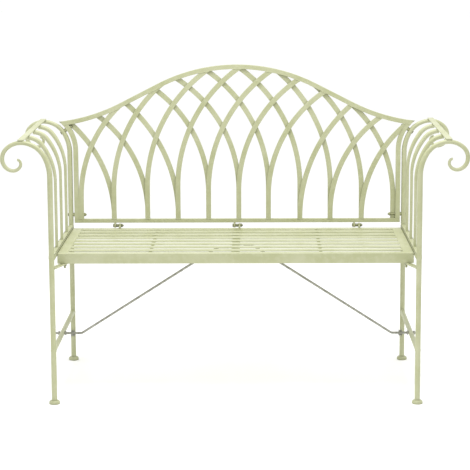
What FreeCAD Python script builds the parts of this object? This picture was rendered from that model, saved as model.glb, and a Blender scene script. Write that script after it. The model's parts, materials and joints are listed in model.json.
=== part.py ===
import FreeCAD, Part
import os
from math import atan2, cos, degrees, hypot, radians, sin, tan

# Steel garden bench with scrolled arms and an interlaced-arch back.
# Millimetres, +Z up, front towards -Y. The origin is on the ground, midway between the four legs.
# Bearings are degrees from straight up, growing towards the right side of the bench.

# Side frames: bent tubes on round feet
leg_spacing = 1080.0
leg_depth = 557.0
tube_radius = 8.0
tube_wall = 1.5
spring_height = 681.0
rear_rise = 5.0
arm_bends = ((128.0, 28), (77.0, 62))
scroll_bends = arm_bends + ((61.0, 45), (41.0, 45), (37.0, 45), (30.0, 45), (23.0, 60), (16.0, 65), (7.0, 65))
scroll_radii = (tube_radius, 7.4, 6.2, 6.2, 6.3, 6.0, 5.4, 4.6, 4.0, 3.8)
scroll_hollow_radius = 2.8
scroll_hollow_depth = 9.0
foot_radius = 16.0
foot_height = 11.0
foot_crown = 6.0
foot_edge = 1.5
foot_plug_height = 14.0

# Bars of the side frames
side_rail_size = 15.0
side_rail_top = 449.0
stretcher_radius = 7.5
stretcher_height = 161.0
arm_bar_bends = ((185.0, 38), (54.0, 52))
arm_bar_radii = (4.5, 4.5, 7.0, 7.0)
arm_bar_places = (-139.25, 0.0, 139.25)
armrest_width = 18.0
armrest_thickness = 3.0
armrest_length = 566.0
armrest_corner = 3.0

# Seat: a mitred frame of angle steel with flat slats and strips under them
seat_top = 441.0
seat_front = -206.5
seat_back = 266.5
seat_width = 1063.0
angle_flange = 30.0
angle_thickness = 3.0
slat_count = 7
slat_width = 34.0
slat_thickness = 3.0
slat_pitch = 56.5
first_slat_front = -156.0
centre_strip_width = 25.0
side_strip_width = 10.0
side_strip_place = 256.0
strip_thickness = 3.0
corner_plate_size = 30.0
corner_plate_thickness = 3.0

# Back panel, in the plane of the rear legs
panel_thickness = 12.0
panel_half_width = 528.0
bottom_rail_bottom = 457.5
opening_bottom = 470.0
top_rail_height = 14.0
crown_height = 969.0
top_rail_steps = ((560.0, 27), (136.0,), (577.0, -20.5))
stile_width = 15.0
stile_spring = 694.0
stile_bend_radius = 127.5
stile_sweep = 70

# Arch bars: each rises straight from the bottom rail to its spring, then bends over to the top rail
# They are set out by eye, so each has its own place, spring height and bend radius. The front layer
# leans to the right from the ten left roots, and the rear layer to the left from the ten right roots.
arch_width = 16.0
arch_sweep = 80
arch_roots = (-505, -399, -290, -191, -92, 6, 102, 204, 302, 403, 505)
front_springs = (540, 560, 570, 575, 560, 560, 545, 475, 490, 475)
front_radii = (410, 460, 470, 470, 475, 435, 405, 485, 380, 390)
rear_springs = (540, 565, 580, 580, 575, 565, 555, 485, 490, 475)
rear_radii = (400, 450, 480, 465, 455, 425, 415, 475, 395, 410)

# Lug pairs that join the back's bottom rail to the seat
lug_places = (-388.0, 0.0, 388.0)
lug_thickness = 6.0
lug_half_gap = 5.0
lug_radius = 7.0
lug_foot = 12.0
lug_bolt_height = 448.0
lug_bolt_depth = 275.5
sleeve_radius = 5.0

# Front seat brackets
bracket_thickness = 4.0
bracket_width = 18.0
seat_bolt_x = 511.0
seat_bolt_y = -190.5
seat_bolt_bottom = 395.0

# Diagonal stays from the stretchers to the centre strip
stay_radius = 3.5
stay_depth = -38.5
stay_outer_end = 560.0
stay_foot = 480.0
stay_head = 56.0
stay_foot_bend = 15.0
stay_head_bend = 22.0
stay_paddle_start = 26.0
paddle_width = 16.0
paddle_thickness = 3.0
wing_nut_place = 507.0
wing_nut_length = 9.0
wing_nut_radius = 5.5
wing_radius = 4.5
wing_span = 19.0
wing_thickness = 2.4

# Fasteners
m6_radius = 3.0
m6_flats = 10.0
m6_head = 4.0
m6_nut = 5.0
m6_tail = 3.0
stay_nut_flats = 12.0
side_spacer_radius = 6.0
spacer_excess = 2.0
side_bolt_head = 1.6
side_bolt_head_radius = 5.0
low_bolt_height = 484.0
high_bolt_angle = 35.0

# Values that follow from the dimensions above
leg_x = leg_spacing / 2
leg_y = leg_depth / 2
panel_front = leg_y - panel_thickness / 2
panel_back = leg_y + panel_thickness / 2
slat_bottom = seat_top - slat_thickness
strip_bottom = slat_bottom - strip_thickness
seat_bottom = seat_top - angle_flange
stile_centre = panel_half_width - stile_width / 2
stile_bend_centre = stile_centre + stile_bend_radius
slat_length = seat_width - 2 * angle_flange
trimming_depth = 3 * panel_thickness
bolt_reach = leg_spacing / 8

UP = FreeCAD.Vector(0, 0, 1)
DOWN = FreeCAD.Vector(0, 0, -1)
RIGHT = FreeCAD.Vector(1, 0, 0)
LEFT = FreeCAD.Vector(-1, 0, 0)
REARWARDS = FreeCAD.Vector(0, 1, 0)
ORIGIN = FreeCAD.Vector(0, 0, 0)


def point(x, y, z):
    return FreeCAD.Vector(x, y, z)


def mirrored(shape):
    """The same shape on the left side of the bench."""
    return shape.mirror(ORIGIN, RIGHT)


def both_sides(solids):
    """Solids of the right side together with their mirror images."""
    return Part.makeCompound(solids + [mirrored(solid) for solid in solids])


def box(x_span, y_span, z_span):
    """A block between two values on each axis."""
    sizes = [high - low for low, high in (x_span, y_span, z_span)]
    return Part.makeBox(*sizes, point(x_span[0], y_span[0], z_span[0]))


def rod(start, end, radius):
    """A straight round rod between two points."""
    line = end.sub(start)
    return Part.makeCylinder(radius, line.Length, start, line)


def hexagon(centre, axis, flats, height):
    """A hexagonal bolt head that stands on centre along axis."""
    corner = flats / 2 / cos(radians(30))
    corners = [point(corner * cos(radians(60 * k)), corner * sin(radians(60 * k)), 0) for k in range(7)]
    prism = Part.Face(Part.makePolygon(corners)).extrude(UP * height)
    prism.Placement = FreeCAD.Placement(centre, FreeCAD.Rotation(UP, axis))
    return prism


def nut(centre, axis, flats, height, bore):
    """A hexagonal nut that stands on centre along axis."""
    return hexagon(centre, axis, flats, height).cut(rod(centre, centre.add(axis * height), bore))


def bolt(seat, axis, flats, head, length, radius):
    """A hexagon bolt: its head stands behind the seat point, its shank runs along axis."""
    shank = rod(seat, seat.add(axis * length), radius)
    return hexagon(seat, axis.negative(), flats, head).fuse(shank).removeSplitter()


def way(bearing):
    """The unit vector of a bearing in the upright plane across the bench."""
    return point(sin(radians(bearing)), 0, cos(radians(bearing)))


def trace(start, bearing, steps, shift=0.0):
    """The edges of a path in an upright plane, and the place and bearing after every step.

    A step is (length,) for a straight run or (radius, angle) for a bend, and a positive angle turns to
    the right. The shift moves the whole path sideways, to the right of its heading.
    """
    place = start
    edges = []
    stations = [(place, bearing)]
    for step in steps:
        if len(step) == 1:
            end = place.add(way(bearing) * step[0])
            offset = way(bearing + 90) * shift
            edges.append(Part.makeLine(place.add(offset), end.add(offset)))
        else:
            radius, angle = step
            side = 90 if angle > 0 else -90
            centre = place.add(way(bearing + side) * radius)
            reach = radius - shift if angle > 0 else radius + shift
            rim = [centre.sub(way(bearing + side + angle * part) * reach) for part in (0, 0.5, 1)]
            edges.append(Part.Arc(*rim).toShape())
            bearing += angle
            end = centre.sub(way(bearing + side) * radius)
        place = end
        stations.append((place, bearing))
    return edges, stations


def band(start, bearing, steps, left_shift, right_shift, depth):
    """A flat bar bent in an upright plane: the band between two shifts of one path, extruded rearwards."""
    left = trace(start, bearing, steps, left_shift)[0]
    right = trace(start, bearing, steps, right_shift)[0]
    ends = [
        Part.makeLine(left[0].valueAt(left[0].FirstParameter), right[0].valueAt(right[0].FirstParameter)),
        Part.makeLine(left[-1].valueAt(left[-1].LastParameter), right[-1].valueAt(right[-1].LastParameter)),
    ]
    outline = Part.Wire(Part.__sortEdges__(left + right + ends))
    return Part.Face(outline).extrude(REARWARDS * depth)


def tapered_run(edge, first, last, first_radius, last_radius):
    """A round rod along one edge, between two stations of (place, bearing)."""
    sweep = Part.BRepOffsetAPI.MakePipeShell(Part.Wire([edge]))
    sweep.setBiNormalMode(REARWARDS)
    for (place, bearing), radius in ((first, first_radius), (last, last_radius)):
        sweep.add(Part.Wire(Part.makeCircle(radius, place, way(bearing))))
    sweep.build()
    sweep.makeSolid()
    return sweep.shape()


def bent_rod(start, bearing, steps, radii):
    """A round rod along a path, with one radius at the start and one after each step."""
    edges, stations = trace(start, bearing, steps)
    runs = [
        tapered_run(edge, stations[k], stations[k + 1], radii[k], radii[k + 1])
        for k, edge in enumerate(edges)
    ]
    return runs[0].multiFuse(runs[1:]).removeSplitter()


def leg_spring(depth):
    """Where the right leg at one depth starts to bend: the rear legs stand a little taller."""
    return point(leg_x, depth, spring_height + rear_rise * (depth + leg_y) / leg_depth)


def scroll(depth):
    """The solid forged part of the right leg at one depth, from its spring to the curled tip."""
    start = leg_spring(depth)
    shape = bent_rod(start, 0, scroll_bends, scroll_radii)
    tip, heading = trace(start, 0, scroll_bends)[1][-1]
    hollow = rod(tip.sub(way(heading) * scroll_hollow_depth), tip.add(way(heading)), scroll_hollow_radius)
    return shape.cut(hollow)


def leg(depth):
    """The right leg at one depth: a tube that rises from its foot and rolls outwards into a scroll."""
    bottom = point(leg_x, depth, foot_height)
    spring = leg_spring(depth)
    post = rod(bottom, spring, tube_radius).cut(rod(bottom, spring, tube_radius - tube_wall))
    return post.fuse(scroll(depth)).removeSplitter()


def rear_leg():
    """The right rear leg with its two bolt holes to the back panel."""
    shape = leg(leg_y)
    for start, axis in side_bolt_axes():
        shape = shape.cut(rod(start.sub(axis * tube_radius), start.add(axis * 3 * tube_radius), m6_radius))
    return shape


def foot(x, y):
    """A domed round foot with a plug up inside the tube."""
    disc = Part.makeCylinder(foot_radius, foot_height, point(x, y, 0))
    rims = [edge for edge in disc.Edges if isinstance(edge.Curve, Part.Circle)]
    disc = disc.makeFillet(foot_crown, [edge for edge in rims if edge.CenterOfMass.z > foot_height / 2])
    rims = [edge for edge in disc.Edges if edge.BoundBox.ZMax < foot_edge and isinstance(edge.Curve, Part.Circle)]
    disc = disc.makeFillet(foot_edge, rims)
    plug = Part.makeCylinder(tube_radius - tube_wall, foot_plug_height, point(x, y, foot_height))
    return disc.fuse(plug).removeSplitter()


def coped(bar):
    """A bar of the right side cut to sit against the outsides of both legs."""
    for depth in (-leg_y, leg_y):
        bar = bar.cut(rod(point(leg_x, depth, 0), point(leg_x, depth, spring_height), tube_radius))
    return bar


def side_rail():
    """The right seat-level rail, a square tube between the legs."""
    half = side_rail_size / 2
    inside = half - tube_wall
    middle = side_rail_top - half
    spans = ((leg_x - half, leg_x + half), (-leg_y, leg_y), (middle - half, middle + half))
    core = ((leg_x - inside, leg_x + inside), (-leg_y, leg_y), (middle - inside, middle + inside))
    return coped(box(*spans).cut(box(*core)))


def stretcher():
    """The right low stretcher, a round bar between the legs, drilled across for the stay."""
    bar = rod(point(leg_x, -leg_y, stretcher_height), point(leg_x, leg_y, stretcher_height), stretcher_radius)
    hole = rod(
        point(leg_x - tube_radius, stay_depth, stretcher_height),
        point(leg_x + tube_radius, stay_depth, stretcher_height),
        stay_radius,
    )
    return coped(bar).cut(hole)


def arm_apex(depth):
    """The highest point of the scroll's centre line at one depth."""
    return trace(leg_spring(depth), 0, arm_bends)[1][-1][0]


def armrest_bottom(depth):
    """The height of the armrest strip's underside at one depth: the strip rests on both scrolls."""
    return arm_apex(depth).z + scroll_radii[len(arm_bends)]


def armrest_strip():
    """The right armrest, a flat strip over the two scrolls and the arm bars."""
    half = armrest_width / 2
    middle = arm_apex(0).x
    bottom = armrest_bottom(0)
    end = armrest_length / 2
    strip = box((middle - half, middle + half), (-end, end), (bottom, bottom + armrest_thickness))
    uprights = [edge for edge in strip.Edges if edge.BoundBox.ZLength > armrest_thickness / 2]
    strip = strip.makeFillet(armrest_corner, uprights)
    strip.rotate(point(middle, 0, bottom), RIGHT, degrees(atan2(rear_rise, leg_depth)))
    return strip


def arm_bar(depth):
    """One round bar of the right arm, which swells as it bends out under the armrest strip."""
    start = point(leg_x, depth, side_rail_top)
    bend_rise = trace(start, 0, arm_bar_bends)[1][-1][0].z - side_rail_top
    straight = armrest_bottom(depth) - arm_bar_radii[-1] - bend_rise - side_rail_top
    return bent_rod(start, 0, ((straight,),) + arm_bar_bends, arm_bar_radii)


def seat_bracket():
    """The right front bracket, a flat strap from the leg to the bolt under the seat corner."""
    along = point(seat_bolt_x - leg_x, seat_bolt_y + leg_y, 0)
    half = bracket_width / 2
    strap = Part.makeBox(along.Length, bracket_width, bracket_thickness, point(0, -half, 0))
    eye = Part.makeCylinder(half, bracket_thickness, point(along.Length, 0, 0))
    tab = strap.fuse(eye).removeSplitter()
    root = point(leg_x, -leg_y, seat_bottom - bracket_thickness)
    tab.Placement = FreeCAD.Placement(root, FreeCAD.Rotation(UP, degrees(atan2(along.y, along.x))))
    hole = Part.makeCylinder(m6_radius, seat_top, point(seat_bolt_x, seat_bolt_y, 0))
    return coped(tab).cut(hole)


def seat_corner_plate():
    """The right plate welded inside the seat's front corner, drilled for the bracket's bolt."""
    edge = seat_width / 2 - angle_thickness
    front = seat_front + angle_thickness
    plate = box(
        (edge - corner_plate_size, edge),
        (front, front + corner_plate_size),
        (seat_bottom, seat_bottom + corner_plate_thickness),
    )
    return plate.cut(Part.makeCylinder(m6_radius, seat_top, point(seat_bolt_x, seat_bolt_y, 0)))


def mitred_plate(length, width, low, high):
    """A plate along X with both ends mitred towards the inside, its long edge on y = 0."""
    half = length / 2
    corners = [(-half, 0), (half, 0), (half - width, width), (width - half, width), (-half, 0)]
    outline = Part.makePolygon([point(x, y, low) for x, y in corners])
    return Part.Face(outline).extrude(UP * (high - low))


def seat_rail(length, turn, x, y):
    """One mitred angle of the seat frame, turned about the upright axis and put in place."""
    flange = mitred_plate(length, angle_flange, -angle_thickness, 0)
    web = mitred_plate(length, angle_thickness, -angle_flange, 0)
    rail = flange.fuse(web).removeSplitter()
    rail.Placement = FreeCAD.Placement(point(x, y, seat_top), FreeCAD.Rotation(UP, turn))
    return rail


def seat_slat(number):
    """One seat slat, counted from the front, between the side angles."""
    front = first_slat_front + number * slat_pitch
    half = slat_length / 2
    return box((-half, half), (front, front + slat_width), (slat_bottom, seat_top))


def seat_strip(x, width):
    """A strip from front to back under the slats."""
    span = (seat_front + angle_thickness, seat_back - angle_thickness)
    return box((x - width / 2, x + width / 2), span, (strip_bottom, slat_bottom))


def centre_strip():
    """The wide strip under the middle of the seat, drilled for the stays' bolt."""
    hole = Part.makeCylinder(m6_radius, seat_top, point(0, stay_depth, 0))
    return seat_strip(0, centre_strip_width).cut(hole)


def crown_path(drop):
    """The line of the top rail from its crown to the right shoulder, moved down by drop."""
    start = point(0, panel_front, crown_height)
    return trace(start, 90, top_rail_steps, drop)[0]


def under_crown(drop):
    """A slab of everything below the top rail's line moved down by drop, deeper than the panel."""
    right = crown_path(drop)
    left = [edge.mirror(ORIGIN, RIGHT) for edge in right]
    shoulder = right[-1].valueAt(right[-1].LastParameter)
    corners = [
        shoulder,
        point(shoulder.x, panel_front, 0),
        point(-shoulder.x, panel_front, 0),
        point(-shoulder.x, panel_front, shoulder.z),
    ]
    closing = [Part.makeLine(corners[k], corners[k + 1]) for k in range(3)]
    face = Part.Face(Part.Wire(Part.__sortEdges__(left + right + closing)))
    face.translate(REARWARDS * -panel_thickness)
    return face.extrude(REARWARDS * trimming_depth)


def stile_path_steps(sweep):
    """A stile's path: straight up from the bottom rail, then bent outwards beside the leg."""
    return ((stile_spring - opening_bottom,), (stile_bend_radius, sweep))


def beside_stile(shift):
    """A slab of everything to the right of the right stile's centre line moved by shift."""
    front = panel_front - panel_thickness
    low = box(
        (stile_centre + shift, stile_bend_centre + stile_bend_radius),
        (front, front + trimming_depth),
        (0, stile_spring),
    )
    bend = point(stile_bend_centre, front, stile_spring)
    return low.fuse(Part.makeCylinder(stile_bend_radius - shift, trimming_depth, bend, REARWARDS))


def back_top_rail():
    """The crowned top rail, pointed where it runs into the stiles."""
    outer = crown_path(0)
    inner = crown_path(top_rail_height)
    crown = Part.makeLine(outer[0].Vertexes[0].Point, inner[0].Vertexes[0].Point)
    shoulder = Part.makeLine(outer[-1].Vertexes[-1].Point, inner[-1].Vertexes[-1].Point)
    half_face = Part.Face(Part.Wire(Part.__sortEdges__(outer + inner + [crown, shoulder])))
    half_rail = half_face.extrude(REARWARDS * panel_thickness).cut(beside_stile(stile_width / 2))
    return half_rail.fuse(mirrored(half_rail)).removeSplitter()


def back_bottom_rail():
    """The straight rail under the arches."""
    half = panel_half_width
    return box((-half, half), (panel_front, panel_back), (bottom_rail_bottom, opening_bottom))


def back_stile():
    """The right stile of the back panel, drilled for its two bolts."""
    start = point(stile_centre, panel_front, opening_bottom)
    half = stile_width / 2
    bar = band(start, 0, stile_path_steps(stile_sweep), -half, half, panel_thickness)
    bar = bar.common(under_crown(top_rail_height))
    bar = lowest_solid(bar)
    for hole_start, axis in side_bolt_axes():
        bar = bar.cut(rod(hole_start, hole_start.add(axis * bolt_reach), m6_radius))
    return bar


def lowest_solid(shape):
    """The solid that reaches lowest, when trimming has left more than one."""
    return min(shape.Solids, key=lambda solid: solid.BoundBox.ZMin)


def back_opening():
    """The space that the rails and the stiles enclose, deeper than the panel."""
    space = under_crown(top_rail_height)
    for side in (beside_stile(-stile_width / 2), mirrored(beside_stile(-stile_width / 2))):
        space = space.cut(side)
    return space


def arch_bar(root_x, spring, radius, opening):
    """One arch bar that leans to the right, half as deep as the panel and at its front."""
    root = point(root_x, panel_front, opening_bottom)
    steps = ((spring - opening_bottom,), (radius, arch_sweep))
    bar = band(root, 0, steps, -arch_width / 2, arch_width / 2, panel_thickness / 2)
    return lowest_solid(bar.common(opening))


def arch_pair(number, opening):
    """The front layer's bar counted from the left, with the rear layer's bar counted from the right."""
    front_bar = arch_bar(arch_roots[number], front_springs[number], front_radii[number], opening)
    rear_root = -arch_roots[-1 - number]
    rear_bar = mirrored(arch_bar(rear_root, rear_springs[number], rear_radii[number], opening))
    rear_bar.translate(REARWARDS * panel_thickness / 2)
    if number == 0:
        start, axis = side_bolt_axes()[0]
        hole = rod(start, start.add(axis * bolt_reach), m6_radius)
        front_bar = front_bar.cut(mirrored(hole))
        rear_bar = rear_bar.cut(hole)
    return Part.makeCompound([front_bar, rear_bar])


def side_bolt_axes():
    """Where the right side's two bolts start on the outside of the leg, and the way they point."""
    low = point(leg_x + tube_radius, leg_y, low_bolt_height)
    bends = (arm_bends[0], (arm_bends[1][0], high_bolt_angle - arm_bends[0][1]))
    high, bearing = trace(leg_spring(leg_y), 0, bends)[1][-1]
    inward = way(bearing - 90)
    return [(low, LEFT), (high.sub(inward * high_bolt_leg_radius()), inward)]


def high_bolt_leg_radius():
    """The radius of the leg where the upper bolt passes through it."""
    part = (high_bolt_angle - arm_bends[0][1]) / arm_bends[1][1]
    return scroll_radii[1] + part * (scroll_radii[2] - scroll_radii[1])


def side_bolt_stations():
    """How far along each bolt the spacer starts, the spacer ends and the nut is seated."""
    gap_start = 2 * tube_radius
    gap_end = leg_x + tube_radius - panel_half_width
    low = (gap_start, gap_end, gap_end + stile_width + arch_width)
    start, axis = side_bolt_axes()[1]
    reach = stile_reaches(start, axis)
    high = (2 * high_bolt_leg_radius(), reach[0], reach[1])
    return [low, high]


def stile_reaches(start, axis):
    """Where a line crosses the outer and the inner face of the right stile's bend."""
    to_start = start.sub(point(stile_bend_centre, leg_y, stile_spring))
    along = to_start.dot(axis)
    reaches = []
    for radius in (stile_bend_radius - stile_width / 2, stile_bend_radius + stile_width / 2):
        reaches.append((along * along - to_start.dot(to_start) + radius * radius) ** 0.5 - along)
    return reaches


def side_bolts():
    """The right side's two bolts through the leg and the stile."""
    solids = []
    for (start, axis), stations in zip(side_bolt_axes(), side_bolt_stations()):
        head = rod(start.sub(axis * side_bolt_head), start, side_bolt_head_radius)
        shank = rod(start, start.add(axis * (stations[2] + m6_nut + m6_tail)), m6_radius)
        solids.append(head.fuse(shank).removeSplitter())
    return solids


def side_spacers():
    """The right side's two spacers, shaped to the leg at one end and the stile at the other."""
    solids = []
    tools = [scroll(leg_y), rod(point(leg_x, leg_y, 0), leg_spring(leg_y), tube_radius)]
    tools.append(beside_stile(-stile_width / 2).cut(beside_stile(stile_width / 2)))
    for (start, axis), stations in zip(side_bolt_axes(), side_bolt_stations()):
        near = start.add(axis * (stations[0] - spacer_excess))
        far = start.add(axis * (stations[1] + spacer_excess))
        blank = rod(near, far, side_spacer_radius)
        blank = blank.cut(rod(start, start.add(axis * bolt_reach), m6_radius))
        for tool in tools:
            blank = blank.cut(tool)
        solids.append(max(blank.Solids, key=lambda solid: solid.Volume))
    return solids


def side_nuts():
    """The right side's two nuts on the inner face of the back panel's edge."""
    solids = []
    for (start, axis), stations in zip(side_bolt_axes(), side_bolt_stations()):
        solids.append(nut(start.add(axis * stations[2]), axis, m6_flats, m6_nut, m6_radius))
    return [solid.cut(back_stile()) for solid in solids]


def lug_centre(x):
    return point(x, lug_bolt_depth, lug_bolt_height)


def back_lug(x):
    """A lug that hangs from the back's bottom rail, rounded at its lower end."""
    left = x - lug_half_gap - lug_thickness
    span = (left, left + lug_thickness)
    sides = (lug_bolt_depth - lug_radius, lug_bolt_depth + lug_radius)
    plate = box(span, sides, (lug_bolt_height, bottom_rail_bottom))
    centre = point(left, lug_bolt_depth, lug_bolt_height)
    nose = Part.makeCylinder(lug_radius, lug_thickness, centre, RIGHT)
    hole = Part.makeCylinder(m6_radius, lug_thickness, centre, RIGHT)
    return plate.fuse(nose).removeSplitter().cut(hole)


def seat_lug(x):
    """A lug that runs back from the seat's rear angle, rounded at its rear end."""
    left = x + lug_half_gap
    span = (left, left + lug_thickness)
    height = (lug_bolt_height - lug_radius, lug_bolt_height + lug_radius)
    plate = box(span, (seat_back, lug_bolt_depth), (seat_top, height[1]))
    centre = point(left, lug_bolt_depth, lug_bolt_height)
    nose = Part.makeCylinder(lug_radius, lug_thickness, centre, RIGHT)
    foot_plate = box(span, (seat_back - lug_foot, seat_back), (seat_top, lug_bolt_height))
    hole = Part.makeCylinder(m6_radius, lug_thickness, centre, RIGHT)
    return plate.fuse(nose).fuse(foot_plate).removeSplitter().cut(hole)


def lug_sleeve(x):
    """The sleeve that keeps a pair of lugs apart."""
    start = lug_centre(x - lug_half_gap)
    end = lug_centre(x + lug_half_gap)
    return rod(start, end, sleeve_radius).cut(rod(start, end, m6_radius))


def lug_bolt(x):
    """The bolt through a pair of lugs."""
    length = 2 * (lug_half_gap + lug_thickness) + m6_nut + m6_tail
    return bolt(lug_centre(x - lug_half_gap - lug_thickness), RIGHT, m6_flats, m6_head, length, m6_radius)


def lug_nut(x):
    """The nut on a lug bolt."""
    return nut(lug_centre(x + lug_half_gap + lug_thickness), RIGHT, m6_flats, m6_nut, m6_radius)


def seat_bolt():
    """The right bolt down through the corner plate and the bracket."""
    top = point(seat_bolt_x, seat_bolt_y, seat_bottom + corner_plate_thickness)
    return bolt(top, DOWN, m6_flats, m6_head, top.z - seat_bolt_bottom, m6_radius)


def seat_nut():
    """The nut under the right bracket."""
    top = point(seat_bolt_x, seat_bolt_y, seat_bottom - bracket_thickness)
    return nut(top, DOWN, m6_flats, m6_nut, m6_radius)


def stay(paddle_top):
    """The right diagonal stay: a threaded level end, a straight climb and a flattened, drilled end."""
    level = paddle_top - paddle_thickness / 2
    rise = level - stretcher_height
    reach = stay_foot - stay_head
    slope = degrees(atan2(rise, reach))
    foot_trim = stay_foot_bend * tan(radians(slope / 2))
    head_trim = stay_head_bend * tan(radians(slope / 2))
    steps = (
        (stay_outer_end - stay_foot - foot_trim,),
        (stay_foot_bend, slope),
        (hypot(rise, reach) - foot_trim - head_trim,),
        (stay_head_bend, -slope),
        (stay_head - head_trim - stay_paddle_start + paddle_thickness,),
    )
    bar = bent_rod(point(stay_outer_end, stay_depth, stretcher_height), -90, steps, [stay_radius] * 6)
    half = paddle_width / 2
    low = paddle_top - paddle_thickness
    plate = box((0, stay_paddle_start), (stay_depth - half, stay_depth + half), (low, paddle_top))
    eye = Part.makeCylinder(half, paddle_thickness, point(0, stay_depth, low))
    hole = Part.makeCylinder(m6_radius, paddle_thickness, point(0, stay_depth, low))
    return bar.fuse(plate).fuse(eye).removeSplitter().cut(hole)


def stay_nuts():
    """The two nuts that clamp the right stay to its stretcher."""
    solids = []
    for axis in (LEFT, RIGHT):
        seat = point(leg_x, stay_depth, stretcher_height).add(axis * stretcher_radius)
        solids.append(nut(seat, axis, stay_nut_flats, m6_nut, stay_radius))
    return solids


def wing_nut():
    """The right wing nut on the threaded end of the stay."""
    centre = point(wing_nut_place, stay_depth, stretcher_height)
    half = wing_nut_length / 2
    shape = rod(centre.add(LEFT * half), centre.add(RIGHT * half), wing_nut_radius)
    front = stay_depth - wing_thickness / 2
    for side in (UP, DOWN):
        ear = point(centre.x, front, centre.z).add(side * (wing_span / 2 - wing_radius))
        web = box(
            (centre.x - wing_radius, centre.x + wing_radius),
            (front, front + wing_thickness),
            (min(ear.z, centre.z), max(ear.z, centre.z)),
        )
        shape = shape.fuse(Part.makeCylinder(wing_radius, wing_thickness, ear, REARWARDS)).fuse(web)
    bore = rod(centre.add(LEFT * wing_span), centre.add(RIGHT * wing_span), stay_radius)
    return shape.removeSplitter().cut(bore)


def stay_bolt():
    """The bolt that holds both stay ends up against the centre strip."""
    seat = point(0, stay_depth, strip_bottom - 2 * paddle_thickness)
    return bolt(seat, UP, m6_flats, m6_head, slat_bottom - seat.z, m6_radius)


def side_frame_nodes():
    """The nodes of the right side frame, and their mirror images on the left."""
    nodes = {}
    for name, shape in (
        ("front_leg", leg(-leg_y)),
        ("rear_leg", rear_leg()),
        ("arm_bars", Part.makeCompound([arm_bar(depth) for depth in arm_bar_places])),
        ("armrest_strip", armrest_strip()),
        ("side_rail", side_rail()),
        ("stretcher", stretcher()),
        ("seat_bracket", seat_bracket()),
        ("back_stile", back_stile()),
    ):
        nodes["right_" + name] = shape
        nodes["left_" + name] = mirrored(shape)
    nodes["feet"] = Part.makeCompound([foot(x, y) for x in (-leg_x, leg_x) for y in (-leg_y, leg_y)])
    return nodes


def seat_nodes():
    """The nodes of the seat."""
    depth = seat_back - seat_front
    middle = (seat_front + seat_back) / 2
    nodes = {
        "seat_front_rail": seat_rail(seat_width, 0, 0, seat_front),
        "seat_rear_rail": seat_rail(seat_width, 180, 0, seat_back),
        "seat_right_rail": seat_rail(depth, 90, seat_width / 2, middle),
        "seat_left_rail": seat_rail(depth, -90, -seat_width / 2, middle),
        "seat_centre_strip": centre_strip(),
        "seat_right_strip": seat_strip(side_strip_place, side_strip_width),
        "seat_left_strip": seat_strip(-side_strip_place, side_strip_width),
        "seat_corner_plates": both_sides([seat_corner_plate()]),
        "seat_lugs": Part.makeCompound([seat_lug(x) for x in lug_places]),
    }
    for number in range(slat_count):
        nodes["seat_slat_%d" % (number + 1)] = seat_slat(number)
    return nodes


def back_nodes():
    """The nodes of the back panel, apart from its two stiles."""
    nodes = {
        "back_top_rail": back_top_rail(),
        "back_bottom_rail": back_bottom_rail(),
        "back_lugs": Part.makeCompound([back_lug(x) for x in lug_places]),
    }
    opening = back_opening()
    for number in range(len(front_springs)):
        nodes["arch_bars_%02d" % (number + 1)] = arch_pair(number, opening)
    return nodes


def fastener_nodes():
    """The nodes of the stays and of everything that bolts the bench together."""
    return {
        "left_stay": mirrored(stay(strip_bottom - paddle_thickness)),
        "right_stay": stay(strip_bottom),
        "stay_nuts": both_sides(stay_nuts()),
        "stay_wing_nuts": both_sides([wing_nut()]),
        "stay_bolt": stay_bolt(),
        "side_bolts": both_sides(side_bolts()),
        "side_spacers": both_sides(side_spacers()),
        "side_nuts": both_sides(side_nuts()),
        "lug_bolts": Part.makeCompound([lug_bolt(x) for x in lug_places]),
        "lug_nuts": Part.makeCompound([lug_nut(x) for x in lug_places]),
        "lug_sleeves": Part.makeCompound([lug_sleeve(x) for x in lug_places]),
        "seat_bolts": both_sides([seat_bolt()]),
        "seat_nuts": both_sides([seat_nut()]),
    }


os.makedirs("parts", exist_ok=True)
bench = {**side_frame_nodes(), **seat_nodes(), **back_nodes(), **fastener_nodes()}
for node_name, node_shape in bench.items():
    if not node_shape.isValid():
        raise ValueError(node_name + " is not a valid shape")
    node_shape.exportStep("parts/%s.step" % node_name)
    print("%-20s %2d solids %12.0f mm3" % (node_name, len(node_shape.Solids), node_shape.Volume))
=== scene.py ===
"""A painted steel garden bench with scrolled arms and a back of interlaced arches."""

import json
import logging
import math
from dataclasses import dataclass, field
from enum import Enum
from typing import Any, Iterable, Sequence

import bmesh
import bpy
from mathutils import Matrix, Vector
from mathutils.bvhtree import BVHTree


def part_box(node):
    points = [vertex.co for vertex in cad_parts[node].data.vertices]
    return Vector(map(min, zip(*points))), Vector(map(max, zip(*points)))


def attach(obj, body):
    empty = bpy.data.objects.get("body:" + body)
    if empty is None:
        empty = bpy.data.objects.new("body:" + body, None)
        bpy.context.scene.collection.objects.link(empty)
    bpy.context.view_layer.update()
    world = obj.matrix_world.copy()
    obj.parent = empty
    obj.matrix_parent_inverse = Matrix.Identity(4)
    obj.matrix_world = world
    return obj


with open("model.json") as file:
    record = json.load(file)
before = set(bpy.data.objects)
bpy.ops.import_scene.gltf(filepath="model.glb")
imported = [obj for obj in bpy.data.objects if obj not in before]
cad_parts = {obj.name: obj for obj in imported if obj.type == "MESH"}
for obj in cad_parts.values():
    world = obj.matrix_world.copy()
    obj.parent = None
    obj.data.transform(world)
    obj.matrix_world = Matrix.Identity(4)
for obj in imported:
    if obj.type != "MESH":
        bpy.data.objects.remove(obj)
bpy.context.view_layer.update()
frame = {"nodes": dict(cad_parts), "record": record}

MM = 0.001
ROOT = "root"
LOG = logging.getLogger("bench")
Tree = bpy.types.NodeTree
Socket = bpy.types.NodeSocket


class Side(Enum):
    """A side of the bench, seen by someone who faces it."""

    LEFT = "left"
    RIGHT = "right"


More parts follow.
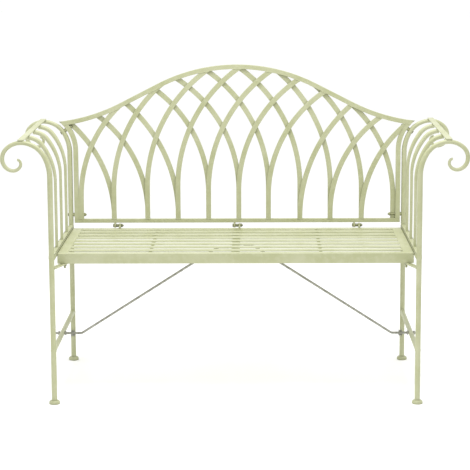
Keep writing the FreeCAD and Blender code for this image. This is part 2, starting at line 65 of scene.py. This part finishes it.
class Slot(Enum):
    """The record's material slots."""

    FRAME = "painted_steel"
    FOOT = "painted_foot"
    FASTENER = "fastener_steel"
    ZINC = "zinc_steel"


def linear(hex_code: str) -> tuple[float, float, float, float]:
    """Turn an sRGB hex colour to linear light.

    Args:
        hex_code: The colour as six hex digits after a hash sign.

    Returns:
        Red, green, blue and a full alpha.
    """
    channels = [int(hex_code[k : k + 2], 16) / 255 for k in (1, 3, 5)]
    light = [c / 12.92 if c <= 0.04045 else ((c + 0.055) / 1.055) ** 2.4 for c in channels]
    return light[0], light[1], light[2], 1.0


def add_node(tree: Tree, kind: str, inputs: dict[Any, Any] | None = None, **settings: Any) -> bpy.types.Node:
    """Add a node, with its settings and its links.

    Args:
        tree: The node tree that gets it.
        kind: Blender's name for the node's type.
        inputs: For an input's name or number, the socket to link to it or the value to give it.
        settings: The node's own properties.

    Returns:
        The new node.
    """
    node = tree.nodes.new(kind)
    for name, value in settings.items():
        setattr(node, name, value)
    for name, value in (inputs or {}).items():
        if isinstance(value, Socket):
            tree.links.new(value, node.inputs[name])
        else:
            node.inputs[name].default_value = value
    return node


@dataclass(frozen=True)
class Pattern:
    """Noise in a finish, with features of a real size."""

    size_mm: float
    detail: float
    roughness: float = 0.55

    def inputs(self, place: Socket) -> dict[Any, Any]:
        """Return the inputs that give a noise texture this pattern."""
        scale = 1 / (self.size_mm * MM)
        return {"Vector": place, "Scale": scale, "Detail": self.detail, "Roughness": self.roughness}


@dataclass(frozen=True)
class Ramp:
    """How a measure between two levels turns to an amount between two others."""

    low: float
    high: float
    at_low: float
    at_high: float

    def inputs(self, measure: Socket) -> dict[Any, Any]:
        """Return the inputs that give a range mapping this ramp."""
        return {0: measure, 1: self.low, 2: self.high, 3: self.at_low, 4: self.at_high}


@dataclass(frozen=True)
class PowderCoat:
    """Polyester powder coat, sprayed on steel and cured in an oven.

    It is satin, so that lights spread wide on it. It has the faint ripple that the powder leaves as it
    flows, clouds where it lies thinner, painted shade darkening its corners, and rubbed edges.
    """

    name: str
    colour: str
    thin_colour: str
    # The colour of the painted shade in the coat's corners
    shade_colour: str
    rubbed_colour: str
    ior: float = 1.5
    roughness: float = 0.42
    roughness_spread: float = 0.07
    roughness_levels: tuple[float, float] = (0.3, 0.7)
    clouds: Pattern = Pattern(90.0, 3.0)
    cloud_cover: Ramp = Ramp(0.38, 0.66, 0.0, 0.75)
    mottle: Pattern = Pattern(14.0, 2.0)
    mottle_cover: Ramp = Ramp(0.48, 0.7, 0.0, 0.55)
    # Real powder ripples every 2 mm or so, which is too fine to show: it is drawn wider
    ripple: Pattern = Pattern(5.0, 1.0)
    ripple_depth_mm: float = 0.05
    # The painted corner shade: how far its ambient occlusion reaches, how dark it gets, and its levels
    corner_mm: float = 9.0
    corner_shade: float = 0.38
    corner_levels: tuple[float, float] = (0.35, 0.85)
    corner_samples: int = 6
    edge_mm: float = 0.9
    edge_rub: float = 0.5
    edge_levels: tuple[float, float] = (0.8, 0.97)
    edge_breaks: Ramp = Ramp(0.4, 0.62, 0.15, 1.0)
    edge_samples: int = 4

    def material(self) -> bpy.types.Material:
        """Build the material.

        Returns:
            The finished node material.
        """
        made = bpy.data.materials.new(self.name)
        made.use_nodes = True
        tree = made.node_tree
        tree.nodes.clear()
        place = add_node(tree, "ShaderNodeTexCoord").outputs["Object"]
        mottle = add_node(tree, "ShaderNodeTexNoise", self.mottle.inputs(place)).outputs[0]
        colour = self.cloudy(tree, place, mottle)
        colour = self.painted_corner_shade(tree, colour)
        colour = self.rubbed(tree, colour, mottle)
        low = self.roughness - self.roughness_spread
        high = self.roughness + self.roughness_spread
        satin = Ramp(*self.roughness_levels, low, high)
        rough = add_node(tree, "ShaderNodeMapRange", satin.inputs(mottle)).outputs[0]
        ripple = add_node(tree, "ShaderNodeTexNoise", self.ripple.inputs(place)).outputs[0]
        depth = self.ripple_depth_mm * MM
        bump = add_node(tree, "ShaderNodeBump", {"Height": ripple, "Distance": depth, "Strength": 1.0})
        look = {"Base Color": colour, "Roughness": rough, "Normal": bump.outputs[0]}
        shader = add_node(tree, "ShaderNodeBsdfPrincipled", {**look, "IOR": self.ior, "Metallic": 0.0})
        add_node(tree, "ShaderNodeOutputMaterial", {"Surface": shader.outputs[0]})
        return made

    def cloudy(self, tree: Tree, place: Socket, mottle: Socket) -> Socket:
        """Lighten the coat where it lies thin, in wide clouds and in small spots.

        Args:
            tree: The material's nodes.
            place: Where a point is.
            mottle: The pattern of the small spots.

        Returns:
            The coat's colour.
        """
        thin = linear(self.thin_colour)
        clouds = add_node(tree, "ShaderNodeTexNoise", self.clouds.inputs(place)).outputs[0]
        wide = add_node(tree, "ShaderNodeMapRange", self.cloud_cover.inputs(clouds)).outputs[0]
        small = add_node(tree, "ShaderNodeMapRange", self.mottle_cover.inputs(mottle)).outputs[0]
        clouded = {0: wide, 6: linear(self.colour), 7: thin}
        colour = add_node(tree, "ShaderNodeMix", clouded, data_type="RGBA").outputs[2]
        return add_node(tree, "ShaderNodeMix", {0: small, 6: colour, 7: thin}, data_type="RGBA").outputs[2]

    def painted_corner_shade(self, tree: Tree, colour: Socket) -> Socket:
        """Darken the coat with painted shade in corners and where two bars touch.

        Args:
            tree: The material's nodes.
            colour: The colour so far.

        Returns:
            The colour with painted shade in its corners.
        """
        # Ambient occlusion paints shade into the colour where bars crowd each other
        reach = {"Distance": self.corner_mm * MM}
        hollow = add_node(
            tree, "ShaderNodeAmbientOcclusion", reach, samples=self.corner_samples, only_local=False
        ).outputs["AO"]
        shade_ramp = Ramp(*self.corner_levels, self.corner_shade, 0.0)
        painted_shade = add_node(tree, "ShaderNodeMapRange", shade_ramp.inputs(hollow)).outputs[0]
        shade_mix = {0: painted_shade, 6: colour, 7: linear(self.shade_colour)}
        return add_node(tree, "ShaderNodeMix", shade_mix, data_type="RGBA").outputs[2]

    def rubbed(self, tree: Tree, colour: Socket, mottle: Socket) -> Socket:
        """Wear the edges, which lie where a softened normal leaves the true one.

        Args:
            tree: The material's nodes.
            colour: The colour so far.
            mottle: The pattern that breaks the wear up.

        Returns:
            The colour with its edges worn.
        """
        soft = add_node(
            tree, "ShaderNodeBevel", {"Radius": self.edge_mm * MM}, samples=self.edge_samples
        ).outputs[0]
        true = add_node(tree, "ShaderNodeNewGeometry").outputs["Normal"]
        normals = {0: soft, 1: true}
        match = add_node(tree, "ShaderNodeVectorMath", normals, operation="DOT_PRODUCT").outputs["Value"]
        worn = Ramp(*self.edge_levels, self.edge_rub, 0.0)
        edge = add_node(tree, "ShaderNodeMapRange", worn.inputs(match)).outputs[0]
        broken = add_node(tree, "ShaderNodeMapRange", self.edge_breaks.inputs(mottle)).outputs[0]
        rub = add_node(tree, "ShaderNodeMath", {0: edge, 1: broken}, operation="MULTIPLY").outputs[0]
        bare = {0: rub, 6: colour, 7: linear(self.rubbed_colour)}
        return add_node(tree, "ShaderNodeMix", bare, data_type="RGBA").outputs[2]


@dataclass(frozen=True)
class ZincPlate:
    """Drawn steel rod with a dull zinc plate.

    It is a soft grey metal with faint lines from drawing and a cloudy bloom that takes the shine off.
    """

    name: str
    colour: str
    bloom_colour: str
    roughness: float = 0.42
    bloom_roughness: float = 0.62
    bloom: Pattern = Pattern(11.0, 4.0)
    bloom_levels: tuple[float, float] = (0.42, 0.66)
    # Drawing lines are finer than 0.5 mm: they are drawn wider, so that they show
    lines: Pattern = Pattern(1.6, 1.0)
    line_depth_mm: float = 0.02

    def material(self) -> bpy.types.Material:
        """Build the material.

        Returns:
            The finished node material.
        """
        made = bpy.data.materials.new(self.name)
        made.use_nodes = True
        tree = made.node_tree
        tree.nodes.clear()
        place = add_node(tree, "ShaderNodeTexCoord").outputs["Object"]
        bloom = add_node(tree, "ShaderNodeTexNoise", self.bloom.inputs(place)).outputs[0]
        cover = Ramp(*self.bloom_levels, 0.0, 1.0)
        factor = add_node(tree, "ShaderNodeMapRange", cover.inputs(bloom)).outputs[0]
        bloomed = {0: factor, 6: linear(self.colour), 7: linear(self.bloom_colour)}
        colour = add_node(tree, "ShaderNodeMix", bloomed, data_type="RGBA").outputs[2]
        dulled = Ramp(*self.bloom_levels, self.roughness, self.bloom_roughness)
        rough = add_node(tree, "ShaderNodeMapRange", dulled.inputs(bloom)).outputs[0]
        lines = add_node(tree, "ShaderNodeTexNoise", self.lines.inputs(place)).outputs[0]
        depth = self.line_depth_mm * MM
        bump = add_node(tree, "ShaderNodeBump", {"Height": lines, "Distance": depth, "Strength": 1.0})
        look = {"Base Color": colour, "Roughness": rough, "Normal": bump.outputs[0], "Metallic": 1.0}
        shader = add_node(tree, "ShaderNodeBsdfPrincipled", look)
        add_node(tree, "ShaderNodeOutputMaterial", {"Surface": shader.outputs[0]})
        return made


# Each coat's fourth colour is the painted shade in its corners
SAGE = PowderCoat("sage_powder_coat", "#A6A982", "#B3B595", "#54563A", "#C6C7B2")
SAGE_FOOT = PowderCoat("sage_powder_coat_scuffed", "#A2A57E", "#AFB191", "#4E5036", "#C2C3AE", edge_rub=0.7)
# A darker copy of the sage coat, with wide and strong painted shade in its corners: it paints the deep shade
# at the spacers and nuts
FASTENER_COAT = PowderCoat(
    "olive_deep_shade_powder_coat", "#8E9068", "#9A9B76", "#2E2F1C", "#A5A58C", corner_mm=18.0, corner_shade=0.8
)
ZINC = ZincPlate("dull_zinc_plate", "#A2A298", "#8E8E83")


@dataclass
class Softener:
    """The rounding that rolling, drawing and paint leave on every edge of a bar."""

    radius: float = 0.7 * MM
    segments: int = 2
    sharp_from: float = math.radians(35)
    joining_gap: float = 0.002 * MM
    group: Tree | None = field(default=None, repr=False)

    def join_faces(self) -> Tree:
        """Build the modifier that joins a node's faces along their edges and shades them as one skin.

        Returns:
            The geometry node tree.
        """
        if self.group:
            return self.group
        tree = bpy.data.node_groups.new("joined_faces", "GeometryNodeTree")
        tree.interface.new_socket("Geometry", in_out="INPUT", socket_type="NodeSocketGeometry")
        tree.interface.new_socket("Geometry", in_out="OUTPUT", socket_type="NodeSocketGeometry")
        source = add_node(tree, "NodeGroupInput").outputs[0]
        near = {"Geometry": source, "Distance": self.joining_gap}
        joined = add_node(tree, "GeometryNodeMergeByDistance", near).outputs[0]
        bare = {"Mesh": joined, "Remove Custom": True}
        plain = add_node(tree, "GeometryNodeSetMeshNormal", bare, mode="SHARPNESS").outputs[0]
        shaded = {"Geometry": plain, "Shade Smooth": True}
        smooth = add_node(tree, "GeometryNodeSetShadeSmooth", shaded).outputs[0]
        add_node(tree, "NodeGroupOutput", {0: smooth})
        self.group = tree
        return tree

    def soften(self, piece: bpy.types.Object) -> None:
        """Round a piece's edges with modifiers, so that its mesh stays as it is.

        Args:
            piece: The object that gets the modifiers.
        """
        piece.modifiers.new("joined_faces", "NODES").node_group = self.join_faces()
        bevel = piece.modifiers.new("softened_edges", "BEVEL")
        bevel.width = self.radius
        bevel.segments = self.segments
        bevel.limit_method = "ANGLE"
        bevel.angle_limit = self.sharp_from
        bevel.use_clamp_overlap = False
        bevel.harden_normals = True


@dataclass
class PaintShop:
    """The finishes of the bench, and the work that gives a node or a new piece its own."""

    softener: Softener = field(default_factory=Softener)
    coats: dict[Slot, bpy.types.Material] = field(init=False)
    slots: dict[str, Slot] = field(init=False)

    def __post_init__(self) -> None:
        """Build the materials and read each node's slot in the record."""
        finishes = {Slot.FRAME: SAGE, Slot.FOOT: SAGE_FOOT, Slot.FASTENER: FASTENER_COAT, Slot.ZINC: ZINC}
        self.coats = {slot: finish.material() for slot, finish in finishes.items()}
        self.slots = {part["node"]: Slot(part["material_slot"]) for part in frame["record"]["subparts"]}

    def dress(self, names: Iterable[str], softened: bool = True) -> None:
        """Give nodes their finish and their softened edges.

        Args:
            names: The nodes.
            softened: Whether their edges are softened.
        """
        for name in names:
            node = frame["nodes"][name]
            slot = self.slots[name]
            for holder in node.material_slots:
                holder.material = self.coats[slot]
            if softened:
                self.softener.soften(node)
            LOG.info("%s: %s", name, slot.value)

    def add_piece(self, mesh: bmesh.types.BMesh, name: str, slot: Slot) -> None:
        """Turn a mesh to a piece of the bench that rides on its frame.

        Args:
            mesh: The piece's shape, in the frame's metres.
            name: The piece's name.
            slot: The record's slot that it belongs to.
        """
        bmesh.ops.recalc_face_normals(mesh, faces=mesh.faces)
        for face in mesh.faces:
            face.smooth = True
        data = bpy.data.meshes.new(name)
        mesh.to_mesh(data)
        mesh.free()
        data.materials.append(self.coats[slot])
        piece = bpy.data.objects.new(name, data)
        bpy.context.scene.collection.objects.link(piece)
        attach(piece, ROOT)
        LOG.info("%s: %d faces", name, len(data.polygons))


@dataclass
class Bead:
    """A fillet weld: a thin bead with the ripples of its pool along it."""

    radius: float = 1.5 * MM
    ripple: float = 0.16
    ripple_pitch: float = 2.2 * MM
    points_per_ripple: int = 4
    end_size: float = 0.35
    sides: int = 8

    def lay(self, mesh: bmesh.types.BMesh, path: Sequence[Vector], closed: bool) -> None:
        """Lay one bead along a path.

        Args:
            mesh: The mesh that gets it.
            path: The points it passes, in order.
            closed: Whether its end joins its start.
        """
        count = len(path)
        turns = [math.tau * s / self.sides for s in range(self.sides)]
        rings = []
        length = 0.0
        for k, here in enumerate(path):
            before = path[(k - 1) % count] if closed or k else here
            after = path[(k + 1) % count] if closed or k < count - 1 else here
            length += (here - path[k - 1]).length if k else 0.0
            along = (after - before).normalized()
            across = along.orthogonal().normalized()
            up = along.cross(across)
            swell = 1 + self.ripple * math.sin(math.tau * length / self.ripple_pitch)
            end = self.end_size if not closed and k in (0, count - 1) else 1.0
            size = self.radius * swell * end
            spokes = [math.cos(t) * across + math.sin(t) * up for t in turns]
            rings.append([mesh.verts.new(here + size * spoke) for spoke in spokes])
        self.skin(mesh, self.aligned(rings), closed)

    def aligned(self, rings: list[list[Any]]) -> list[list[Any]]:
        """Turn each ring so that its points face those of the ring before it.

        Args:
            rings: The bead's rings of points.

        Returns:
            The same rings, each started at its best point.
        """
        turned = rings[:1]
        for ring in rings[1:]:
            first = turned[-1][0].co
            second = turned[-1][1].co
            options = [ring[s:] + ring[:s] for s in range(self.sides)]
            options += [list(reversed(option)) for option in options]
            turned.append(min(options, key=lambda o: (o[0].co - first).length + (o[1].co - second).length))
        return turned

    def skin(self, mesh: bmesh.types.BMesh, rings: list[list[Any]], closed: bool) -> None:
        """Join the rings with faces, and close the ends of an open bead.

        Args:
            mesh: The mesh that gets the faces.
            rings: The bead's rings of points, in order.
            closed: Whether its end joins its start.
        """
        pairs = list(zip(rings, rings[1:]))
        if closed:
            last = rings[-1]
            first = rings[0]
            start = min(range(self.sides), key=lambda s: (first[s].co - last[0].co).length)
            ahead = first[start:] + first[:start]
            behind = [ahead[0]] + ahead[:0:-1]
            near = (ahead[1].co - last[1].co).length <= (behind[1].co - last[1].co).length
            pairs.append((last, ahead if near else behind))
        for one, two in pairs:
            for s in range(self.sides):
                t = (s + 1) % self.sides
                mesh.faces.new((one[s], one[t], two[t], two[s]))
        if not closed:
            mesh.faces.new(rings[0])
            mesh.faces.new(rings[-1])


@dataclass
class SideFrame:
    """One side: two scrolled legs, three arm bars, armrest, rail, stretcher and bracket."""

    side: Side
    shop: PaintShop
    # These aren't softened: most are round, and on the thin armrest strip it leaves a dark line
    plain_parts: tuple[str, ...] = ("front_leg", "rear_leg", "arm_bars", "armrest_strip", "stretcher")
    edged_parts: tuple[str, ...] = ("side_rail", "seat_bracket")
    leg_radius: float = 8 * MM
    arm_bar_radius: float = 4.5 * MM
    # The bars swell to this radius at the top
    arm_bar_swell: float = 7 * MM
    arm_bars: int = 3
    round_power: float = 2.0
    square_power: float = 8.0
    ring_points: int = 40
    bead: Bead = field(default_factory=Bead)

    def node(self, name: str) -> str:
        """Return a node's full name on this side."""
        return f"{self.side.value}_{name}"

    def build(self) -> None:
        """Dress this side and weld it."""
        self.shop.dress(map(self.node, self.plain_parts), softened=False)
        self.shop.dress(map(self.node, self.edged_parts))
        self.arm_bar_welds()
        self.crossbar_welds()

    def arm_bar_welds(self) -> None:
        """Weld every arm bar to the side rail, with a ring bead each."""
        mesh = bmesh.new()
        low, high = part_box(self.node("arm_bars"))
        rail_low, rail_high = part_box(self.node("side_rail"))
        x = (rail_low.x + rail_high.x) / 2
        for k in range(self.arm_bars):
            part = k / (self.arm_bars - 1)
            y = low.y + self.arm_bar_swell + part * (high.y - low.y - 2 * self.arm_bar_swell)
            self.bead.lay(mesh, list(self.ring(Vector((x, y, rail_high.z)), self.arm_bar_radius)), True)
        self.shop.add_piece(mesh, self.node("arm_bar_welds"), Slot.FRAME)

    def ring(self, centre: Vector, radius: float) -> Iterable[Vector]:
        """Find the points of a level ring.

        Args:
            centre: Its middle.
            radius: Its radius.

        Yields:
            Its points, in order.
        """
        for k in range(self.ring_points):
            turn = math.tau * k / self.ring_points
            yield centre + radius * Vector((math.cos(turn), math.sin(turn), 0))

    def crossbar_welds(self) -> None:
        """Weld the side rail and the stretcher to both legs, with saddle-shaped beads."""
        mesh = bmesh.new()
        for end in ("front_leg", "rear_leg"):
            leg_low, leg_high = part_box(self.node(end))
            leg_y = (leg_low.y + leg_high.y) / 2
            inward = -math.copysign(1.0, leg_y)
            for bar, power in (("stretcher", self.round_power), ("side_rail", self.square_power)):
                low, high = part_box(self.node(bar))
                half = (high.x - low.x) / 2
                centre = Vector(((low.x + high.x) / 2, leg_y, (low.z + high.z) / 2))
                path = [self.saddle(centre, half, k, power, inward) for k in range(self.ring_points)]
                self.bead.lay(mesh, path, True)
        self.shop.add_piece(mesh, self.node("crossbar_welds"), Slot.FRAME)

    def saddle(self, centre: Vector, half: float, number: int, power: float, inward: float) -> Vector:
        """Find a point of the line where a bar meets the round leg.

        Args:
            centre: The middle of the leg at the bar's height.
            half: Half of the bar's width.
            number: Which point of the ring it is.
            power: How square the bar is: 2 for a round one, more for a square one.
            inward: The way along Y from the leg into the bar.

        Returns:
            The point.
        """
        turn = math.tau * number / self.ring_points
        cosine = math.cos(turn)
        sine = math.sin(turn)
        reach = half / (abs(cosine) ** power + abs(sine) ** power) ** (1 / power)
        x = reach * cosine
        depth = math.sqrt(max(self.leg_radius**2 - x * x, 0.0))
        return centre + Vector((x, inward * depth, reach * sine))


@dataclass
class Stay:
    """A diagonal stay, with a thread cut on its level outer end."""

    side: Side
    shop: PaintShop
    rod_radius: float = 3.5 * MM
    # The thread's real pitch is 1 mm: it is drawn at 1.5 mm, so that it shows
    pitch: float = 1.5 * MM
    depth: float = 0.35 * MM
    reach: float = 78 * MM
    sides: int = 20
    rings_per_turn: int = 6

    def build(self) -> None:
        """Dress the rod and cut its thread."""
        node = f"{self.side.value}_stay"
        self.shop.dress([node], softened=False)
        low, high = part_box(node)
        sign = 1 if self.side is Side.RIGHT else -1
        outer = high.x if sign > 0 else low.x
        axis = Vector((outer, (low.y + high.y) / 2, low.z + self.rod_radius))
        mesh = bmesh.new()
        count = round(self.reach / self.pitch * self.rings_per_turn)
        rings = []
        for k in range(count + 1):
            along = axis - Vector((sign * self.reach * k / count, 0, 0))
            rings.append([mesh.verts.new(along + self.rim(k, s)) for s in range(self.sides)])
        for one, two in zip(rings, rings[1:]):
            for s in range(self.sides):
                t = (s + 1) % self.sides
                mesh.faces.new((one[s], one[t], two[t], two[s]))
        mesh.faces.new(rings[0])
        mesh.faces.new(rings[-1])
        self.shop.add_piece(mesh, f"{node}_thread", Slot.ZINC)

    def rim(self, ring: int, corner: int) -> Vector:
        """Find a point of the thread, from the axis out.

        Args:
            ring: Which ring along the rod it is in.
            corner: Which point of that ring it is.

        Returns:
            The point, counted from the middle of its ring.
        """
        turn = math.tau * corner / self.sides
        phase = math.tau * ring / self.rings_per_turn - turn
        radius = self.rod_radius + self.depth * (0.5 + 0.5 * math.cos(phase))
        return radius * Vector((0, math.cos(turn), math.sin(turn)))


@dataclass
class BackPanel:
    """The back: rails, stiles and two layers of arch bars, welded where they end."""

    shop: PaintShop
    arches: int = 10
    outer_bars: tuple[str, ...] = (
        "back_top_rail",
        "back_bottom_rail",
        "left_back_stile",
        "right_back_stile",
    )
    lugs: str = "back_lugs"
    contact: float = 0.1 * MM
    line_gap: float = 40 * MM
    bead: Bead = field(default_factory=lambda: Bead(radius=1.2 * MM))

    def build(self) -> None:
        """Dress the back and weld its arch bars, front layer and rear layer."""
        arch_bars = [f"arch_bars_{k + 1:02d}" for k in range(self.arches)]
        self.shop.dress([*self.outer_bars, *arch_bars, self.lugs])
        low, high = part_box("back_bottom_rail")
        for name, y in (("front_arch_welds", low.y), ("rear_arch_welds", high.y)):
            mesh = bmesh.new()
            for outer in self.outer_bars:
                skin = self.surface(outer)
                for arch in arch_bars:
                    for path in self.contact_lines(arch, skin, y):
                        self.bead.lay(mesh, path, False)
            self.shop.add_piece(mesh, name, Slot.FRAME)

    @staticmethod
    def surface(node: str) -> BVHTree:
        """Build a searchable surface of a node.

        Args:
            node: The node.

        Returns:
            Its faces as a tree that finds the nearest point.
        """
        data = frame["nodes"][node].data
        corners = [vertex.co for vertex in data.vertices]
        return BVHTree.FromPolygons(corners, [tuple(face.vertices) for face in data.polygons])

    def contact_lines(self, node: str, skin: BVHTree, y: float) -> list[list[Vector]]:
        """Find where an arch pair's bar ends against another bar, on one face of the panel.

        Args:
            node: The arch pair.
            skin: The other bar's surface.
            y: The depth of the panel's face.

        Returns:
            The lines, each as its points in order.
        """
        points = []
        for vertex in frame["nodes"][node].data.vertices:
            if abs(vertex.co.y - y) < self.contact and skin.find_nearest(vertex.co)[3] < self.contact:
                points.append(vertex.co.copy())
        points.sort(key=lambda p: (round(p.x / self.contact), p.z))
        lines: list[list[Vector]] = []
        for here in points:
            if lines and (here - lines[-1][-1]).length < self.contact:
                continue
            if lines and (here - lines[-1][-1]).length < self.line_gap:
                lines[-1].append(here)
            else:
                lines.append([here])
        return [self.spaced(line) for line in lines if len(line) > 1]

    def spaced(self, line: Sequence[Vector]) -> list[Vector]:
        """Add points between those of a line, so that the ripples show.

        Args:
            line: The points of the line, in order.

        Returns:
            The same line with more points.
        """
        step = self.bead.ripple_pitch / self.bead.points_per_ripple
        path = []
        for one, two in zip(line, line[1:]):
            count = max(1, round((two - one).length / step))
            path.extend(one.lerp(two, k / count) for k in range(count))
        return path + [line[-1].copy()]


@dataclass
class Seat:
    """The seat: four angle rails, slats, the strips under them, corner plates and lugs."""

    shop: PaintShop
    slats: int = 7
    rails: tuple[str, ...] = ("front_rail", "rear_rail", "left_rail", "right_rail")
    strips: tuple[str, ...] = ("centre_strip", "left_strip", "right_strip")
    small_parts: tuple[str, ...] = ("corner_plates", "lugs")

    def build(self) -> None:
        """Dress the seat."""
        slats = [f"slat_{k + 1}" for k in range(self.slats)]
        self.shop.dress(f"seat_{part}" for part in (*self.rails, *slats, *self.strips, *self.small_parts))


@dataclass
class Feet:
    """The four domed feet."""

    shop: PaintShop

    def build(self) -> None:
        """Dress the feet, whose edges are left as modelled."""
        self.shop.dress(["feet"], softened=False)


@dataclass
class Fasteners:
    """Every bolt and nut, with the sleeves at the lugs and the spacers at the legs."""

    shop: PaintShop
    bolts: tuple[str, ...] = ("side_bolts", "lug_bolts", "seat_bolts", "stay_bolt")
    nuts: tuple[str, ...] = ("side_nuts", "lug_nuts", "seat_nuts", "stay_nuts", "stay_wing_nuts")
    distance_pieces: tuple[str, ...] = ("side_spacers", "lug_sleeves")

    def build(self) -> None:
        """Dress the fasteners."""
        self.shop.dress((*self.bolts, *self.nuts, *self.distance_pieces))


@dataclass
class Studio:
    """A pale floor under even white light from all round, stronger from above."""

    floor_size: float = 60.0
    floor_colour: str = "#FCFCFB"
    floor_roughness: float = 0.9
    world_colour: str = "#FFFFFF"
    world_strength: float = 1.04
    overhead_watts: float = 55.0
    overhead_size: float = 1.6
    overhead_place: tuple[float, float, float] = (0.0, -0.5, 2.8)
    camera_place: tuple[float, float, float] = (0.0628, -5.320, 1.3573)
    camera_pitch: float = 9.55
    camera_yaw: float = -0.713
    camera_roll: float = -0.245
    camera_reach: float = 100.0
    lens: float = 133.6

    def build(self) -> None:
        """Build the floor, the lights and the camera."""
        self.floor()
        self.lights()
        self.camera()

    def floor(self) -> None:
        """Lay the floor."""
        mesh = bmesh.new()
        bmesh.ops.create_grid(mesh, x_segments=1, y_segments=1, size=self.floor_size / 2)
        data = bpy.data.meshes.new("floor")
        mesh.to_mesh(data)
        mesh.free()
        paint = bpy.data.materials.new("matt_white_paint")
        paint.use_nodes = True
        shader = paint.node_tree.nodes["Principled BSDF"]
        shader.inputs["Base Color"].default_value = linear(self.floor_colour)
        shader.inputs["Roughness"].default_value = self.floor_roughness
        data.materials.append(paint)
        floor = bpy.data.objects.new("floor", data)
        bpy.context.scene.collection.objects.link(floor)

    def lights(self) -> None:
        """Light the bench from all round and from above."""
        world = bpy.data.worlds.new("white_studio")
        bpy.context.scene.world = world
        world.use_nodes = True
        sky = world.node_tree.nodes["Background"]
        sky.inputs[0].default_value = linear(self.world_colour)
        sky.inputs[1].default_value = self.world_strength
        lamp = bpy.data.lights.new("overhead", "AREA")
        lamp.energy = self.overhead_watts
        lamp.size = self.overhead_size
        overhead = bpy.data.objects.new("overhead", lamp)
        overhead.location = self.overhead_place
        bpy.context.scene.collection.objects.link(overhead)

    def camera(self) -> None:
        """Place the camera by its place and its three angles."""
        pitch = math.radians(self.camera_pitch)
        yaw = math.radians(self.camera_yaw)
        roll = math.radians(self.camera_roll)
        forward = math.cos(pitch)
        ahead = Vector((math.sin(yaw) * forward, math.cos(yaw) * forward, -math.sin(pitch)))
        level = Vector((math.cos(yaw), -math.sin(yaw), 0))
        above = level.cross(ahead)
        right = math.cos(roll) * level + math.sin(roll) * above
        up = math.cos(roll) * above - math.sin(roll) * level
        data = bpy.data.cameras.new("camera")
        data.lens = self.lens
        data.clip_end = self.camera_reach
        camera = bpy.data.objects.new("camera", data)
        turn = Matrix((right, up, -ahead)).transposed()
        camera.matrix_world = Matrix.Translation(Vector(self.camera_place)) @ turn.to_4x4()
        bpy.context.scene.collection.objects.link(camera)
        bpy.context.scene.camera = camera


def write_sizes() -> None:
    """Bring the view layer up to date."""
    bpy.context.view_layer.update()


def main() -> None:
    """Build the bench, one sub-assembly after another, and its studio."""
    logging.basicConfig(level=logging.INFO, format="%(message)s")
    bpy.context.scene.view_settings.view_transform = "Standard"
    shop = PaintShop()
    for side in Side:
        SideFrame(side, shop).build()
        Stay(side, shop).build()
    BackPanel(shop).build()
    Seat(shop).build()
    Feet(shop).build()
    Fasteners(shop).build()
    Studio().build()
    write_sizes()


if __name__ == "__main__":
    main()
